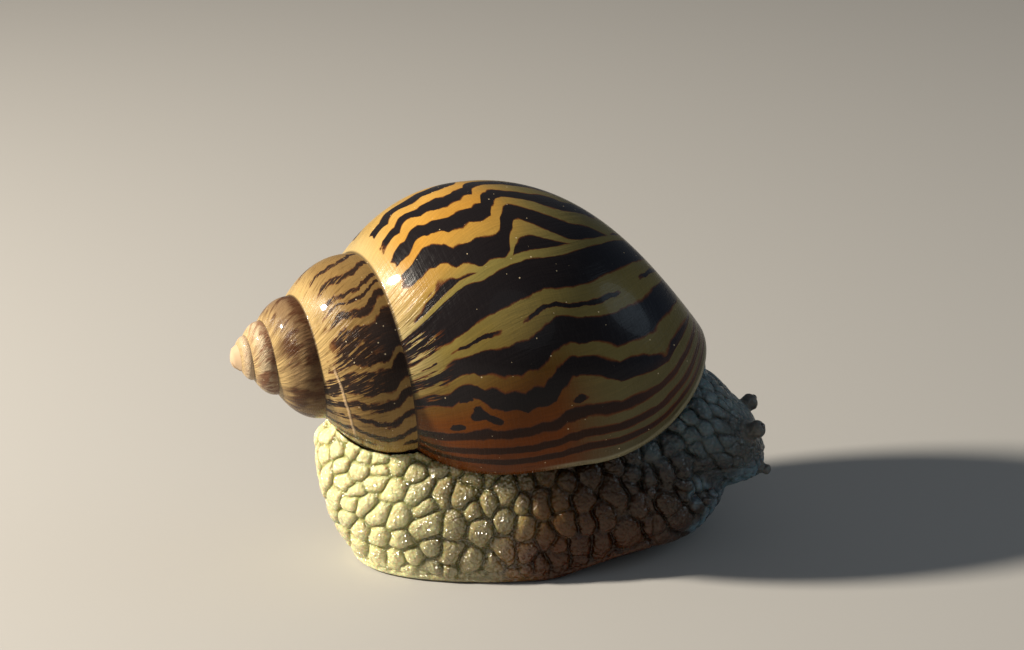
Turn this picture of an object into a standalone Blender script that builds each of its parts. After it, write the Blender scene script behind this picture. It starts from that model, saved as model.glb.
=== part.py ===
"""Giant African land snail, life size, standing drawn in on its foot.

The shell is one solid coiled from growth lines.  The body is modelled whole,
fitted under the shell, and parted by thin cuts into the parts a person names.
+X is the way the snail heads, +Z is up, and the sole lies on z = 0.
"""
import math

import bmesh
import bpy
from mathutils import Vector

MM = 0.001
GAP = 0.3 * MM

# Everything hangs on one empty, set so that the origin is under the middle of the whole snail.
STAND = "snail"
STAND_PLACE = Vector((0.0, 0.62, 0.0)) * MM

# Shell: the coil runs from the apex to the lip, "turn" 0 is the lip, -1 one whorl before it.
SHELL_APEX = Vector((-39.88, -7.71, 36.61)) * MM
AXIS_YAW = math.radians(14.9)
AXIS_PITCH = math.radians(-3.4)
LIP_ANGLE = math.radians(-56.6)
TURNS = 4.9
CLEARANCE_TURNS = 2.6
COLUMNS_PER_TURN = 40
SUTURE_DISTANCE = 26.01 * MM
SUTURE_RADIUS = 17.09 * MM
WHORL_GROWTH = 1.972
RADIUS_POWER = 0.755
SHOULDER_POWER = 2.36
BASE_REACH = 3.117
BASE_POWER = 0.9
SHOULDER_LAG_COLUMNS = 3
SHOULDER_LAG = SHOULDER_LAG_COLUMNS / COLUMNS_PER_TURN
TIP_LAG = 0.214
LAG_POWER = 1.655
SHOULDER_STEPS = 6
BASE_STEPS = 7
TIP_ROUNDING = 0.035
TIP_ROUNDING_TURNS = 0.07
LIP_THICKNESS = 1.0 * MM
LIP_THICKNESS_LIMIT = 0.3
LIP_UNDERCUT = 0.2
LIP_RECESS = 1.8 * MM
CORNER_GROWTH_LIMIT = 1.6
APEX_DOME = 1.0 * MM
DOME_RINGS = (0.75, 0.4)

# Body: level outlines of foot and trunk as (height, rear, front, right, left, front roundness).
BODY_LEVELS = (
    (0.0, -24.6, 29.5, -15.2, 15.2, 2.6),
    (6.0, -27.6, 32.6, -16.6, 16.4, 2.6),
    (12.0, -29.1, 33.0, -16.8, 16.0, 2.3),
    (17.5, -29.4, 32.8, -15.2, 14.2, 2.1),
    (21.5, -28.4, 32.2, -12.4, 12.6, 2.1),
    (26.0, -20.0, 31.2, -9.6, 11.8, 2.2),
    (30.0, -10.0, 30.6, -6.8, 11.0, 2.4),
    (33.0, 0.0, 29.0, -3.0, 9.6, 2.4),
    (35.0, 6.0, 25.0, 0.0, 6.5, 2.2),
)
BODY_HEIGHTS = (0.0, 0.5, 1.6, 4.0, 7.5, 11.0, 14.5, 17.5, 20.0, 22.5, 26.0, 29.0, 31.5, 33.5, 35.0)
BODY_SIDES = 40
WIDEST_SHARE = 0.55
REAR_ROUNDNESS = 2.1
SOLE_EDGE = 1.4
SOLE_RINGS = (0.82, 0.6, 0.3)
MARGIN_LIFT = 3.2
MARGIN_LIFT_START = 5.0
MARGIN_LIFT_REACH = 13.0
MARGIN_LIFT_FADE_ACROSS = 12.0
MARGIN_LIFT_FADE_UP = 11.0
MARGIN_LIFT_INNER_SCALE = 0.7

# Head and neck: sections across the heading as (x, top, bottom, half width).
HEAD_SECTIONS = (
    (16.0, 25.0, 8.0, 10.0),
    (28.0, 27.5, 7.0, 10.5),
    (32.0, 25.3, 7.6, 9.6),
    (35.0, 21.8, 8.2, 8.2),
    (37.5, 18.8, 8.8, 6.4),
    (38.7, 16.2, 9.9, 4.2),
    (39.3, 13.6, 12.4, 0.8),
)
HEAD_STATIONS = (16.0, 22.0, 27.0, 30.0, 32.5, 34.5, 36.2, 37.6, 38.6, 39.1, 39.3)
HEAD_SIDES = 28

# Feelers, drawn in to stubs: (x, y from the middle, z), lean, length and radius.
UPPER_STALK_BASE = (35.2, 4.3, 17.4)
UPPER_STALK_PITCH = math.radians(20.0)
UPPER_STALK_SPLAY = math.radians(26.0)
UPPER_STALK_LENGTH = 4.2
UPPER_STALK_RADIUS = 1.5
EYE_RADIUS = 0.55
EYE_SETBACK = 0.75
EYE_RISE = 0.25
LOWER_STALK_BASE = (37.4, 3.4, 11.6)
LOWER_STALK_PITCH = math.radians(-12.0)
LOWER_STALK_SPLAY = math.radians(28.0)
LOWER_STALK_LENGTH = 2.6
LOWER_STALK_RADIUS = 0.95
# Outline of every feeler as (share of its length, share of its radius).
STALK_OUTLINE = ((-0.5, 1.2), (0.0, 1.15), (0.3, 1.0), (0.55, 0.94), (0.75, 0.9), (0.9, 0.66))
STALK_SIDES = 12

# Thin cuts that part the body, as (point, direction of the part cut off).
CLEARANCE_GAPS = 1.2
SOLE_CUT = ((0.0, 0.0, 2.6), (-0.05, 0.0, 1.0))
TAIL_CUT = ((-14.5, 0.0, 10.0), (-1.0, 0.0, 0.2))
COLLAR_CUT = ((10.0, 0.0, 23.0), (-0.16, -0.36, 0.93))
TRUNK_CUT = ((16.0, 0.0, 12.0), (1.0, 0.0, 0.25))
FOOT_FRONT_CUT = ((22.0, 0.0, 9.4), (0.18, 0.0, 1.0))
NECK_CUT = ((31.2, 0.0, 16.0), (1.0, 0.0, 0.18))
MOUTH_CUT = ((37.0, 0.0, 10.9), (-0.55, 0.0, 1.0))

SHELL_TINT = (0.28, 0.16, 0.06)
BODY_TINT = (0.16, 0.15, 0.10)
HEAD_TINT = (0.07, 0.08, 0.09)
EYE_TINT = (0.01, 0.01, 0.012)


def clear_scene():
    for item in list(bpy.data.objects):
        bpy.data.objects.remove(item, do_unlink=True)


def add_stand():
    stand = bpy.data.objects.new(STAND, None)
    stand.location = STAND_PLACE
    bpy.context.scene.collection.objects.link(stand)


def material(name, tint, roughness):
    made = bpy.data.materials.new(name)
    made.use_nodes = True
    shader = made.node_tree.nodes["Principled BSDF"]
    shader.inputs["Base Color"].default_value = (*tint, 1.0)
    shader.inputs["Roughness"].default_value = roughness
    return made


def mesh_object(name, bm, tint=BODY_TINT, roughness=0.4):
    mesh = bpy.data.meshes.new(name)
    bm.to_mesh(mesh)
    bm.free()
    mesh.materials.append(material(name + "_material", tint, roughness))
    mesh.shade_smooth()
    made = bpy.data.objects.new(name, mesh)
    made.parent = bpy.data.objects[STAND]
    bpy.context.scene.collection.objects.link(made)
    return made


def smooth_table(table, at):
    """Read a row of values from a table, eased between its stations."""
    for low, high in zip(table, table[1:]):
        if at <= high[0]:
            break
    share = min(max((at - low[0]) / (high[0] - low[0]), 0.0), 1.0)
    before = table[max(table.index(low) - 1, 0)]
    after = table[min(table.index(high) + 1, len(table) - 1)]
    row = []
    for k in range(1, len(low)):
        span = high[0] - low[0]
        slope_in = (high[k] - before[k]) / (high[0] - before[0]) * span
        slope_out = (after[k] - low[k]) / (after[0] - low[0]) * span
        cube, square = share ** 3, share ** 2
        row.append((2 * cube - 3 * square + 1) * low[k] + (cube - 2 * square + share) * slope_in
                   + (3 * square - 2 * cube) * high[k] + (cube - square) * slope_out)
    return row


# ---------------------------------------------------------------- shell

def axis_frame():
    """Axis direction, the right-hand side and the upper side of the coil."""
    along = Vector((math.cos(AXIS_PITCH) * math.cos(AXIS_YAW),
                    math.cos(AXIS_PITCH) * math.sin(AXIS_YAW),
                    math.sin(AXIS_PITCH)))
    upper = (Vector((0.0, 0.0, 1.0)) - along * along.z).normalized()
    return along, along.cross(upper), upper


def growth_lag(share):
    """How far a growth line trails behind its suture point, in turns."""
    shoulder = min(share, 1.0)
    base = max(share - 1.0, 0.0)
    return (SHOULDER_LAG * (1.0 - (1.0 - shoulder) ** 2)
            + (TIP_LAG - SHOULDER_LAG) * base ** LAG_POWER)


def whorl_profile(share):
    """Radius and axial distance along a growth line: suture 0, widest 1, axis 2."""
    radius_ratio = WHORL_GROWTH ** RADIUS_POWER
    if share <= 1.0:
        rest = 1.0 - share
        axial = WHORL_GROWTH - (WHORL_GROWTH - 1.0) * rest
        radius = radius_ratio * (1.0 - (1.0 - 1.0 / radius_ratio) * rest ** SHOULDER_POWER)
        return radius, axial
    angle = (share - 1.0) * math.pi / 2.0
    axial = WHORL_GROWTH + (BASE_REACH - WHORL_GROWTH) * math.sin(angle)
    return radius_ratio * max(math.cos(angle), 0.0) ** BASE_POWER, axial


def shell_point(turn, share):
    along, right, upper = axis_frame()
    lagged = turn - growth_lag(share)
    radius, axial = whorl_profile(share)
    radius *= SUTURE_RADIUS * WHORL_GROWTH ** (lagged * RADIUS_POWER)
    rounding = TIP_ROUNDING * math.exp(turn / TIP_ROUNDING_TURNS) * max(share - 1.0, 0.0) ** 5
    axial *= SUTURE_DISTANCE * WHORL_GROWTH ** lagged * (1.0 - rounding)
    angle = LIP_ANGLE - 2.0 * math.pi * lagged
    return SHELL_APEX + along * axial + (right * math.cos(angle) + upper * math.sin(angle)) * radius


def way_shares(row):
    """The share of the row's whole length that lies before each of its vertices."""
    steps = [(two.co - one.co).length for one, two in zip(row, row[1:])]
    whole = sum(steps)
    return [sum(steps[:k]) / whole for k in range(len(row))]


def zipper(bm, first, second):
    """Join two vertex rows that may differ in count, by their share of the way."""
    share_first, share_second = way_shares(first), way_shares(second)
    i = j = 0
    while i < len(first) - 1 or j < len(second) - 1:
        ends = j == len(second) - 1
        if ends or (i < len(first) - 1 and share_first[i + 1] <= share_second[j + 1]):
            trio = (first[i], first[i + 1], second[j])
            i += 1
        else:
            trio = (first[i], second[j + 1], second[j])
            j += 1
        if len(set(trio)) == 3:
            bm.faces.new(trio)


def shell_whorls(bm, turns):
    """Skin of all whorls; each whorl's widest row is the suture of the next."""
    last = round(turns * COLUMNS_PER_TURN)
    shift = COLUMNS_PER_TURN - SHOULDER_LAG_COLUMNS
    columns = []
    for i in range(last + 1):
        turn = (i - last) / COLUMNS_PER_TURN
        columns.append([bm.verts.new(shell_point(turn, j / SHOULDER_STEPS))
                        for j in range(SHOULDER_STEPS)])
    for i, column in enumerate(columns):
        turn = (i - last) / COLUMNS_PER_TURN
        if i + shift <= last:
            column.append(columns[i + shift][0])
        else:
            column.append(bm.verts.new(shell_point(turn, 1.0)))
        if i + shift >= last:
            column.extend(bm.verts.new(shell_point(turn, 1.0 + j / BASE_STEPS))
                          for j in range(1, BASE_STEPS + 1))
    for one, two in zip(columns, columns[1:]):
        for j in range(min(len(one), len(two)) - 1):
            bm.faces.new((one[j], one[j + 1], two[j + 1], two[j]))
    return columns, shift


def join_rings(bm, one, two):
    for a, b, c, d in zip(one, one[1:] + one[:1], two[1:] + two[:1], two):
        bm.faces.new((a, b, c, d))


def shell_apex_cap(bm, columns, shift):
    """Close the first whorl with a low round dome."""
    rim = [column[0] for column in columns[:shift + 1]]
    rim += columns[0][1:SHOULDER_STEPS][::-1]
    along = axis_frame()[0]
    middle = sum((vert.co for vert in rim), Vector()) / len(rim)
    outer = rim
    for share in DOME_RINGS:
        rise = APEX_DOME * math.sqrt(1.0 - share ** 2)
        ring = [bm.verts.new(middle.lerp(vert.co, share) - along * rise) for vert in outer]
        join_rings(bm, rim, ring)
        rim = ring
    top = bm.verts.new(middle - along * APEX_DOME)
    for one, two in zip(rim, rim[1:] + rim[:1]):
        bm.faces.new((one, two, top))


def shell_mouth(bm, columns, shift):
    """Close the mouth with a sunken face that the mantle fills."""
    lip = columns[-1]
    first_base = len(columns) - 1 - shift
    inner = columns[first_base][SHOULDER_STEPS:]
    inner = inner + [column[-1] for column in columns[first_base + 1:]]
    count = len(lip) - 1
    edge = [lip[0]]
    floor = [lip[0]]
    lip_shares, inner_shares = way_shares(lip), way_shares(inner)
    for k in range(1, count):
        nearest = min(range(len(inner)), key=lambda n: abs(inner_shares[n] - lip_shares[k]))
        across = inner[nearest].co - lip[k].co
        width = min(LIP_THICKNESS, across.length * LIP_THICKNESS_LIMIT)
        rim = lip[k].co + across.normalized() * width
        back = (columns[-2][k].co - lip[k].co).normalized()
        depth = LIP_RECESS * math.sin(math.pi * k / count) ** 1.5
        edge.append(bm.verts.new(rim))
        floor.append(bm.verts.new(rim + back * depth + across.normalized() * width * LIP_UNDERCUT))
    edge.append(lip[-1])
    floor.append(lip[-1])
    zipper(bm, lip, edge)
    zipper(bm, edge, floor)
    zipper(bm, floor, inner)


def build_shell_mesh(grow=0.0, turns=TURNS):
    bm = bmesh.new()
    columns, shift = shell_whorls(bm, turns)
    shell_apex_cap(bm, columns, shift)
    shell_mouth(bm, columns, shift)
    bmesh.ops.remove_doubles(bm, verts=bm.verts, dist=0.00001)
    bmesh.ops.triangulate(bm, faces=bm.faces)
    bmesh.ops.recalc_face_normals(bm, faces=bm.faces)
    if grow:
        bm.normal_update()
        moves = [(vert, vert.normal * grow * min(vert.calc_shell_factor(), CORNER_GROWTH_LIMIT))
                 for vert in bm.verts]
        for vert, move in moves:
            vert.co += move
    return bm


# ---------------------------------------------------------------- body

def body_ring(height, scale=1.0):
    """Points round the foot or trunk at one height, blunt in front, tapered behind."""
    rear, front, right, left, front_roundness = smooth_table(BODY_LEVELS, height)
    inset = 0.0
    if height < SOLE_EDGE:
        inset = SOLE_EDGE * (1.0 - math.sqrt(1.0 - (1.0 - height / SOLE_EDGE) ** 2))
    middle_x = rear + WIDEST_SHARE * (front - rear)
    middle_y = (right + left) / 2.0
    half_width = (left - right) / 2.0 - inset
    points = []
    for k in range(BODY_SIDES):
        angle = 2.0 * math.pi * k / BODY_SIDES
        cosine, sine = math.cos(angle), math.sin(angle)
        reach = (front - middle_x if cosine > 0.0 else middle_x - rear) - inset
        power = 2.0 / (front_roundness if cosine > 0.0 else REAR_ROUNDNESS)
        x = middle_x + scale * reach * math.copysign(abs(cosine) ** power, cosine)
        y = middle_y + scale * half_width * math.copysign(abs(sine) ** power, sine)
        points.append(Vector((x, y, height + margin_lift(x, y, height, scale))) * MM)
    return points


def margin_lift(x, y, height, scale):
    """The front right margin of the foot curls up off the floor."""
    way = min(max((x - MARGIN_LIFT_START) / MARGIN_LIFT_REACH, 0.0), 1.0)
    side = min(max(0.5 - y / MARGIN_LIFT_FADE_ACROSS, 0.0), 1.0)
    edge = max(scale - MARGIN_LIFT_INNER_SCALE, 0.0) / (1.0 - MARGIN_LIFT_INNER_SCALE)
    fade = max(1.0 - height / MARGIN_LIFT_FADE_UP, 0.0)
    return MARGIN_LIFT * way ** 1.5 * (3.0 - 2.0 * way ** 0.5) * side * edge * fade


def add_rings(bm, rings, start_tip=None, end_tip=None):
    rows = [[bm.verts.new(point) for point in ring] for ring in rings]
    for one, two in zip(rows, rows[1:]):
        join_rings(bm, one, two)
    for row, tip in ((rows[0], start_tip), (rows[-1], end_tip)):
        if tip is None:
            bm.faces.new(row)
            continue
        point = bm.verts.new(tip)
        for a, b in zip(row, row[1:] + row[:1]):
            bm.faces.new((a, b, point))
    bmesh.ops.recalc_face_normals(bm, faces=bm.faces)


def build_trunk_form():
    bm = bmesh.new()
    rings = [body_ring(0.0, scale) for scale in reversed(SOLE_RINGS)]
    rings += [body_ring(height) for height in BODY_HEIGHTS]
    middle = sum(rings[0], Vector()) / BODY_SIDES
    add_rings(bm, rings, start_tip=Vector((middle.x, middle.y, 0.0)))
    return bm


def head_ring(x, grow=0.0):
    top, bottom, half_width = smooth_table(HEAD_SECTIONS, x)
    points = []
    for k in range(HEAD_SIDES):
        angle = 2.0 * math.pi * k / HEAD_SIDES
        y = (half_width + grow) * math.cos(angle)
        z = (top + bottom) / 2.0 + ((top - bottom) / 2.0 + grow) * math.sin(angle)
        points.append(Vector((x, y, z)) * MM)
    return points


def build_head_form(grow=0.0):
    bm = bmesh.new()
    rings = [head_ring(x, grow) for x in HEAD_STATIONS]
    if grow:
        rings = [[point + Vector((grow * MM * (i / (len(rings) - 1)) ** 2, 0.0, 0.0)) for point in ring]
                 for i, ring in enumerate(rings)]
    add_rings(bm, rings)
    return bm


def stalk_frame(pitch, splay, side):
    aim = Vector((math.cos(pitch) * math.cos(splay), side * math.cos(pitch) * math.sin(splay),
                  math.sin(pitch)))
    across = aim.cross(Vector((0.0, 0.0, 1.0))).normalized()
    return aim, across, across.cross(aim)


def build_stalk(base, pitch, splay, length, radius, side):
    """A drawn-in feeler: thick at its root with a swollen round tip."""
    aim, across, over = stalk_frame(pitch, splay, side)
    root = Vector((base[0], side * base[1], base[2]))
    rings = []
    for share, width in STALK_OUTLINE:
        middle = root + aim * (length * share)
        ring = []
        for k in range(STALK_SIDES):
            angle = 2.0 * math.pi * k / STALK_SIDES
            ring.append((middle + (across * math.cos(angle) + over * math.sin(angle)) * radius * width) * MM)
        rings.append(ring)
    bm = bmesh.new()
    add_rings(bm, rings, end_tip=(root + aim * length) * MM)
    return bm


def build_eye(side, grow=0.0):
    aim, _, over = stalk_frame(UPPER_STALK_PITCH, UPPER_STALK_SPLAY, side)
    root = Vector((UPPER_STALK_BASE[0], side * UPPER_STALK_BASE[1], UPPER_STALK_BASE[2]))
    middle = root + aim * (UPPER_STALK_LENGTH - EYE_RADIUS * EYE_SETBACK) + over * EYE_RISE
    bm = bmesh.new()
    bmesh.ops.create_icosphere(bm, subdivisions=2, radius=(EYE_RADIUS + grow) * MM)
    bmesh.ops.translate(bm, verts=bm.verts, vec=middle * MM)
    return bm


# ---------------------------------------------------------------- cutting

def guide(name, bm):
    made = mesh_object(name, bm)
    made.hide_render = True
    made.display_type = "WIRE"
    return made


def boolean(target, other, operation):
    step = target.modifiers.new(operation.lower(), "BOOLEAN")
    step.operation = operation
    step.object = other
    step.solver = "EXACT"


def baked(target):
    """The evaluated shape of an object as a new bmesh."""
    depsgraph = bpy.context.evaluated_depsgraph_get()
    shape = target.evaluated_get(depsgraph).to_mesh()
    bm = bmesh.new()
    bm.from_mesh(shape)
    return bm


def half_space(point, normal, size=0.2):
    """A large box whose one face lies on the plane and that fills the side of the normal."""
    bm = bmesh.new()
    bmesh.ops.create_cube(bm, size=size)
    turn = Vector((0.0, 0.0, 1.0)).rotation_difference(normal).to_matrix()
    bmesh.ops.rotate(bm, verts=bm.verts, cent=Vector(), matrix=turn)
    bmesh.ops.translate(bm, verts=bm.verts, vec=point + normal * size / 2.0)
    return bm


def split(source, point, normal):
    """Part a form by a thin cut; returns what lies along the normal and what lies behind."""
    point = Vector(point) * MM
    normal = Vector(normal).normalized()
    halves = []
    for sign in (1.0, -1.0):
        piece = guide("form", source.copy())
        boolean(piece, guide("knife", half_space(point - normal * sign * GAP * -0.5, -normal * sign)),
                "DIFFERENCE")
        halves.append(baked(piece))
    source.free()
    return halves


def whole_body():
    """Trunk, neck and head in one form, cut to fit under the shell."""
    form = guide("body_form", build_trunk_form())
    boolean(form, guide("head_form", build_head_form()), "UNION")
    boolean(form, guide("shell_clearance", build_shell_mesh(GAP * CLEARANCE_GAPS, CLEARANCE_TURNS)),
            "DIFFERENCE")
    return baked(form)


def build_body():
    body = whole_body()
    body, sole = split(body, *SOLE_CUT)
    tail, body = split(body, *TAIL_CUT)
    collar, body = split(body, *COLLAR_CUT)
    front, trunk = split(body, *TRUNK_CUT)
    front, foot_front = split(front, *FOOT_FRONT_CUT)
    head, neck = split(front, *NECK_CUT)
    head, mouth = split(head, *MOUTH_CUT)
    for name, piece, tint in (("mantle_collar", collar, BODY_TINT), ("sole", sole, BODY_TINT),
                              ("tail", tail, BODY_TINT), ("trunk", trunk, BODY_TINT),
                              ("foot_front", foot_front, HEAD_TINT), ("neck", neck, HEAD_TINT),
                              ("head", head, HEAD_TINT), ("mouth", mouth, HEAD_TINT)):
        mesh_object(name, piece, tint)


def build_feelers():
    for label, side in (("right", -1.0), ("left", 1.0)):
        upper = mesh_object("upper_feeler_" + label,
                            build_stalk(UPPER_STALK_BASE, UPPER_STALK_PITCH, UPPER_STALK_SPLAY,
                                        UPPER_STALK_LENGTH, UPPER_STALK_RADIUS, side), HEAD_TINT)
        boolean(upper, guide("head_clearance", build_head_form(GAP / MM)), "DIFFERENCE")
        boolean(upper, guide("eye_socket", build_eye(side, GAP / MM)), "DIFFERENCE")
        mesh_object("eye_" + label, build_eye(side), EYE_TINT, 0.1)
        lower = mesh_object("lower_feeler_" + label,
                            build_stalk(LOWER_STALK_BASE, LOWER_STALK_PITCH, LOWER_STALK_SPLAY,
                                        LOWER_STALK_LENGTH, LOWER_STALK_RADIUS, side), HEAD_TINT)
        boolean(lower, guide("head_clearance", build_head_form(GAP / MM)), "DIFFERENCE")


def main():
    clear_scene()
    add_stand()
    mesh_object("shell", build_shell_mesh(), SHELL_TINT, 0.15)
    build_body()
    build_feelers()


main()
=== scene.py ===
"""Life-like look of the giant African land snail: striped glossy shell, wet warty skin, eyes, studio."""
import functools
import random
from math import copysign, cos, exp, pi, radians, sin, sqrt

import bmesh
import bpy
import numpy as np
from mathutils import Matrix, Vector, noise
from mathutils.bvhtree import BVHTree


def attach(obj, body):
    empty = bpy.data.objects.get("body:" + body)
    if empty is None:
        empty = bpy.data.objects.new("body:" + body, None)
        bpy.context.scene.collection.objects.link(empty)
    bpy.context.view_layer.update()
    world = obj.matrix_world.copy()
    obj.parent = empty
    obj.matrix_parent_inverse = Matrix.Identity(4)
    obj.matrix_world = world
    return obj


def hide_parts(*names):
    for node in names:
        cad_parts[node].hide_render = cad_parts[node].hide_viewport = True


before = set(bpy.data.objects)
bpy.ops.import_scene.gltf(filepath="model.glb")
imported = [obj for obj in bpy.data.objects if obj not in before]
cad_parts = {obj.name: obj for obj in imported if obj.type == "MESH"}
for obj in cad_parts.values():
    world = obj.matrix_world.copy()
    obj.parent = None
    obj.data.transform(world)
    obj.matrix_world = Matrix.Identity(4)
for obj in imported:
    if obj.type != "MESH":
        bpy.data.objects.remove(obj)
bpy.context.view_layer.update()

MM = 0.001
STAND_PLACE = Vector((0.0, 0.62, 0.0)) * MM

# Shell: turn 0 is the lip, -1 one whorl before it; share 0 is the suture, 1 the widest, 2 the axis.
SHELL_APEX = Vector((-39.88, -7.71, 36.61)) * MM
AXIS_YAW = radians(14.9)
AXIS_PITCH = radians(-3.4)
LIP_ANGLE = radians(-56.6)
TURNS = 4.9
CLEARANCE_TURNS = 2.6
# Fineness, as (columns to a turn, steps to the shoulder, steps over the base).
SHELL_FINENESS = (240, 56, 72)
CLEARANCE_FINENESS = (40, 6, 7)
SUTURE_DISTANCE = 26.01 * MM
SUTURE_RADIUS = 17.09 * MM
WHORL_GROWTH = 1.972
RADIUS_POWER = 0.755
SHOULDER_POWER = 2.36
BASE_REACH = 3.117
BASE_POWER = 0.9
SHOULDER_LAG = 0.075
TIP_LAG = 0.214
LAG_POWER = 1.655
TIP_ROUNDING = 0.035
TIP_ROUNDING_TURNS = 0.07
LIP_THICKNESS = 1.0 * MM
LIP_RECESS = 1.8 * MM
LIP_LIMIT = 0.3
RECESS_TAPER = 0.2
RECESS_POWER = 1.5
APEX_DOME = 1.0 * MM
DOME_RINGS = (0.75, 0.4)
# Shares past the axis mark the mouth: the lip, the wall behind it and the mouth's floor.
MOUTH_SHARE = 2.05
MOUTH_SHARES = (2.1, 2.3, 2.5)
WELD_DISTANCE = 0.01 * MM
CORNER_GROWTH_LIMIT = 1.6
# The lip's far end is rounded in these steps, as (reach in mm, rounds).
LIP_END_ROUNDING = ((2.6, 30), (1.4, 30))

# Body, as (height, rear, front, right, left, front roundness).
BODY_LEVELS = (
    (0.0, -24.6, 29.5, -15.2, 15.2, 2.6),
    (6.0, -27.6, 32.6, -16.6, 16.4, 2.6),
    (12.0, -29.1, 33.0, -16.8, 16.0, 2.3),
    (17.5, -29.4, 32.8, -15.2, 14.2, 2.1),
    (21.5, -28.4, 32.2, -12.4, 12.6, 2.1),
    (26.0, -20.0, 31.2, -9.6, 11.8, 2.2),
    (30.0, -10.0, 30.6, -6.8, 11.0, 2.4),
    (33.0, 0.0, 29.0, -3.0, 9.6, 2.4),
    (35.0, 6.0, 25.0, 0.0, 6.5, 2.2),
)
BODY_SIDES = 120
WIDEST_SHARE = 0.55
REAR_ROUNDNESS = 2.1
SOLE_EDGE = 1.4
SOLE_RINGS = (0.82, 0.6, 0.3)
MARGIN_LIFT = 3.2
MARGIN_LIFT_START = 5.0
MARGIN_LIFT_REACH = 13.0
MARGIN_LIFT_WIDTH = 12.0
MARGIN_LIFT_EDGE = 0.3
MARGIN_LIFT_HEIGHT = 11.0
# Rings round foot and trunk: close over the sole's round edge, then even, as (first, step, count).
EDGE_HEIGHTS = (0.0, 0.1, 0.25, 0.45, 0.7, 1.0, 1.4)
TRUNK_HEIGHTS = (2.0, 0.75, 45)

# Head, as (x, top, bottom, half width).
HEAD_SECTIONS = (
    (16.0, 25.0, 8.0, 10.0),
    (28.0, 27.5, 7.0, 10.5),
    (32.0, 25.3, 7.6, 9.6),
    (35.0, 21.8, 8.2, 8.2),
    (37.5, 18.8, 8.8, 6.4),
    (38.7, 16.2, 9.9, 4.2),
    (39.3, 13.6, 12.4, 0.8),
)
HEAD_SIDES = 72
# Stations of the head's rings, closer toward the snout, as (first, step, count).
HEAD_STATIONS = ((16.0, 1.0, 14), (30.0, 0.5, 14), (37.0, 0.25, 9), (39.15, 0.15, 2))

# Feelers, as (foot, pitch, splay, length, radius).
UPPER_STALK = ((35.2, 4.3, 17.4), radians(20.0), radians(26.0), 4.2, 1.5)
LOWER_STALK = ((37.4, 3.4, 11.6), radians(-12.0), radians(28.0), 2.6, 0.95)
STALK_SIDES = 32
STALK_START = -0.5
STALK_STEPS = 20
STALK_RINGS = 30
STALK_TIP = 0.7
WRINKLE_END = 0.65
WRINKLE_RATE = 38.0
EYE_RADIUS = 0.55
EYE_DEPTH = 0.75
EYE_RAISE = 0.25

SKIN_VOXEL = 0.17 * MM
SKIN_CLEARANCE = 0.25 * MM
SKIN_SMOOTHING = 6


# ---- tables and small helpers

def smooth_table(table, at):
    """Read a row of values from a table, eased between its stations."""
    for k in range(len(table) - 1):
        if at <= table[k + 1][0]:
            break
    before, low, high, after = (table[min(max(k + step, 0), len(table) - 1)] for step in (-1, 0, 1, 2))
    span = high[0] - low[0]
    share = min(max((at - low[0]) / span, 0.0), 1.0)
    cube, square = share ** 3, share ** 2
    row = []
    for a, b, c, d in zip(before[1:], low[1:], high[1:], after[1:]):
        slope_in = (c - a) / (high[0] - before[0]) * span
        slope_out = (d - b) / (after[0] - low[0]) * span
        row.append((2 * cube - 3 * square + 1) * b + (cube - 2 * square + share) * slope_in
                   + (3 * square - 2 * cube) * c + (cube - square) * slope_out)
    return row


def ease(value, low, high):
    """0 below low, 1 above high, smooth between; works on arrays."""
    share = np.clip((value - low) / (high - low), 0.0, 1.0)
    return share * share * (3.0 - 2.0 * share)


def direction(yaw, pitch):
    return Vector((cos(pitch) * cos(yaw), cos(pitch) * sin(yaw), sin(pitch)))


def new_object(name, data):
    made = bpy.data.objects.new(name, data)
    bpy.context.scene.collection.objects.link(made)
    return made


def mesh_from(name, bm):
    mesh = bpy.data.meshes.new(name)
    bm.to_mesh(mesh)
    bm.free()
    return mesh


# ---- shell form

def axis_frame():
    """Axis direction, the right-hand side and the upper side of the coil."""
    along = direction(AXIS_YAW, AXIS_PITCH)
    upper = (Vector((0.0, 0.0, 1.0)) - along * along.z).normalized()
    return along, along.cross(upper), upper


ALONG, RIGHT, UPPER = axis_frame()


def growth_lag(share):
    """How far a growth line trails behind its suture point, in turns."""
    shoulder = min(share, 1.0)
    base = max(share - 1.0, 0.0)
    return (SHOULDER_LAG * (1.0 - (1.0 - shoulder) ** 2)
            + (TIP_LAG - SHOULDER_LAG) * base ** LAG_POWER)


def whorl_profile(share):
    """Radius and axial distance along a growth line."""
    radius_ratio = WHORL_GROWTH ** RADIUS_POWER
    if share <= 1.0:
        rest = 1.0 - share
        axial = WHORL_GROWTH - (WHORL_GROWTH - 1.0) * rest
        radius = radius_ratio * (1.0 - (1.0 - 1.0 / radius_ratio) * rest ** SHOULDER_POWER)
        return radius, axial
    angle = (share - 1.0) * pi / 2.0
    axial = WHORL_GROWTH + (BASE_REACH - WHORL_GROWTH) * sin(angle)
    return radius_ratio * max(cos(angle), 0.0) ** BASE_POWER, axial


def shell_point(turn, share):
    lagged = turn - growth_lag(share)
    radius, axial = whorl_profile(share)
    radius *= SUTURE_RADIUS * WHORL_GROWTH ** (lagged * RADIUS_POWER)
    rounding = TIP_ROUNDING * exp(turn / TIP_ROUNDING_TURNS) * max(share - 1.0, 0.0) ** 5
    axial *= SUTURE_DISTANCE * WHORL_GROWTH ** lagged * (1.0 - rounding)
    angle = LIP_ANGLE - 2.0 * pi * lagged
    point = SHELL_APEX + ALONG * axial + (RIGHT * cos(angle) + UPPER * sin(angle)) * radius
    return point + STAND_PLACE


def way_shares(row):
    """The share of the row's whole length that lies before each of its vertices."""
    steps = [(two.co - one.co).length for one, two in zip(row, row[1:])]
    whole = sum(steps)
    shares = [0.0]
    for step in steps:
        shares.append(shares[-1] + step / whole)
    return shares


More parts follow.
